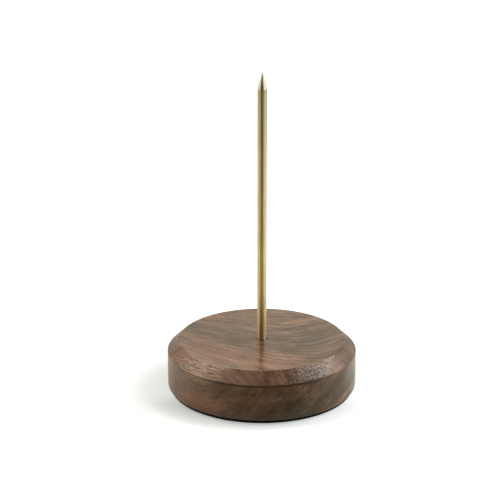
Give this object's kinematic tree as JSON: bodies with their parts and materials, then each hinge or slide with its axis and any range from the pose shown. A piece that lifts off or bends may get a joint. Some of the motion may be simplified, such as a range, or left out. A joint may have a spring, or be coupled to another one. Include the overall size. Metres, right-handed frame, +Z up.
{
  "type": "bill spike",
  "caption": "Desk spike for bills and receipts: a pointed brass rod standing upright in a round chamfered walnut base with a felt pad below.",
  "frame": {"origin": "centre of the underside of the felt pad, where the object stands on a desk", "axes": "+Z up along the spike; the object is round about Z, so X and Y are free, and -Y faces the picture's viewer"},
  "size_m": [0.08, 0.08, 0.136],
  "materials": {
    "walnut": "turned, sanded and oiled walnut, satin",
    "brass": "drawn brass rod, polished, with a turned point",
    "insert_brass": "machined brass, unpolished",
    "felt": "black pressed felt"
  },
  "bodies": {
    "root": {"base": "walnut", "spike": "brass", "threaded_insert": "insert_brass", "felt_pad": "felt"}
  },
  "joints": []
}
